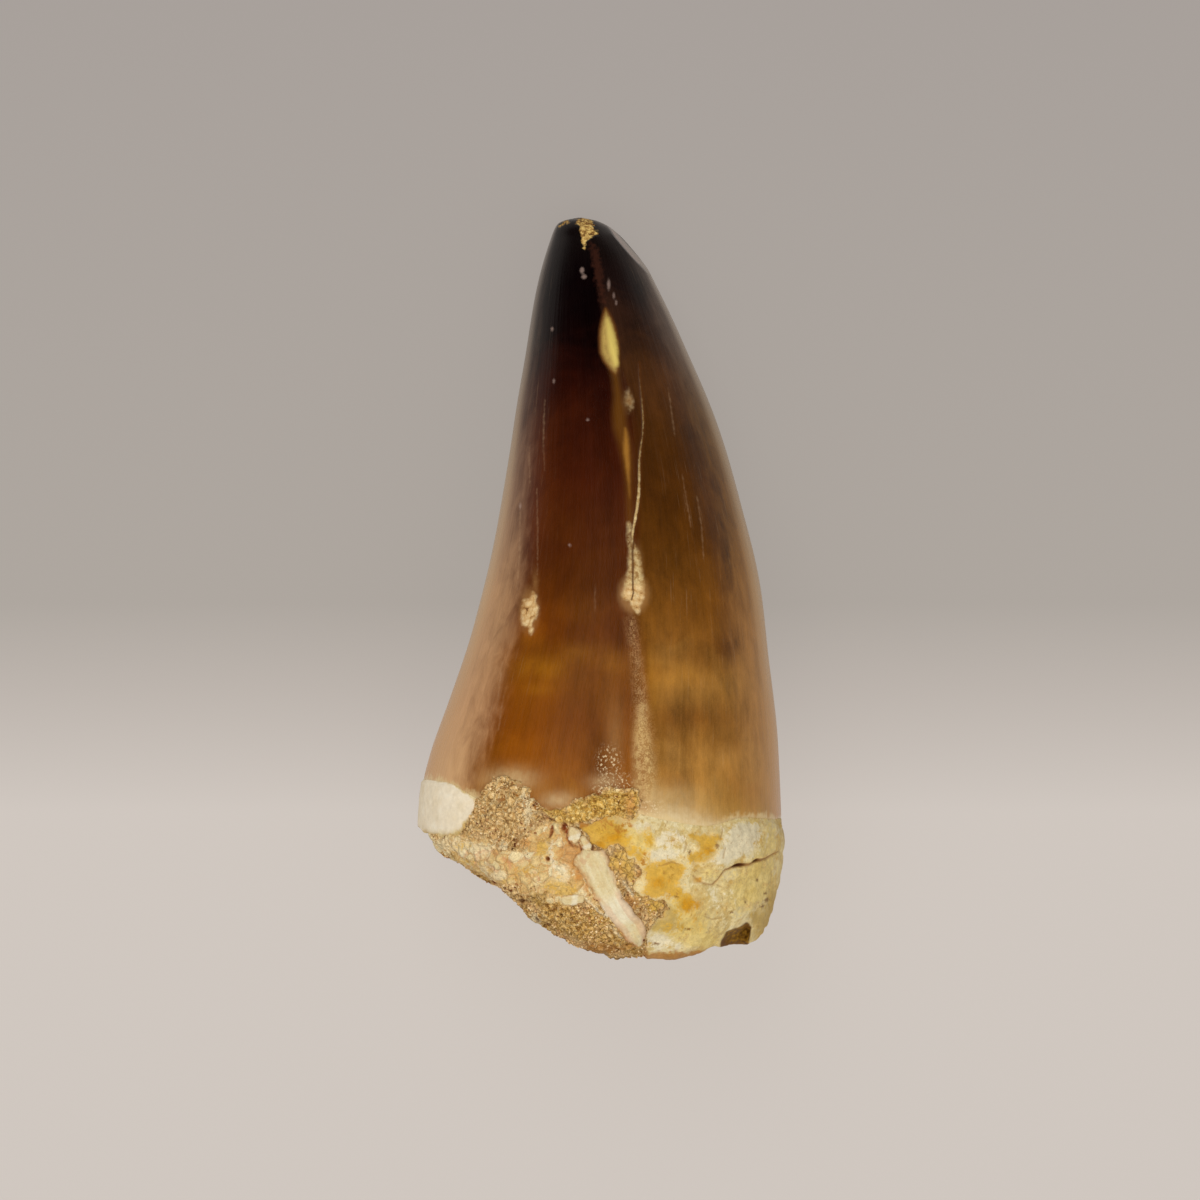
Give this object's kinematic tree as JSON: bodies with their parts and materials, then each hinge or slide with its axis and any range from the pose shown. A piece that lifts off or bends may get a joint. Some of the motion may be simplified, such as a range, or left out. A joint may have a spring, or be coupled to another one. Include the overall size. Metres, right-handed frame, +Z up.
{
  "type": "fossil mosasaur tooth",
  "caption": "Fossil marine-reptile tooth lying on its side: a curved glossy brown crown on a broken cream root that holds sandy stone and splinters of bone.",
  "frame": {"origin": "on the surface that the tooth rests on, under the middle of its length and width", "axes": "+Y from the broken root towards the tip, +X to the right of the face that the picture shows, +Z up from the resting surface, out of that face"},
  "size_m": [0.0292, 0.0601, 0.0249],
  "materials": {
    "tooth_enamel": "polished fossil enamel, near black at the tip, red brown to honey brown below, with yellow dentine where it is worn",
    "sandy_stone": "coarse tan phosphate sandstone, matt and pitted",
    "cream_bone": "cream fossil bone, satin"
  },
  "bodies": {
    "root": {"tooth": "tooth_enamel", "stone_matrix": "sandy_stone", "bone_splinter": "cream_bone", "bone_chip_upper": "cream_bone", "bone_chip_lower": "cream_bone"}
  },
  "joints": []
}
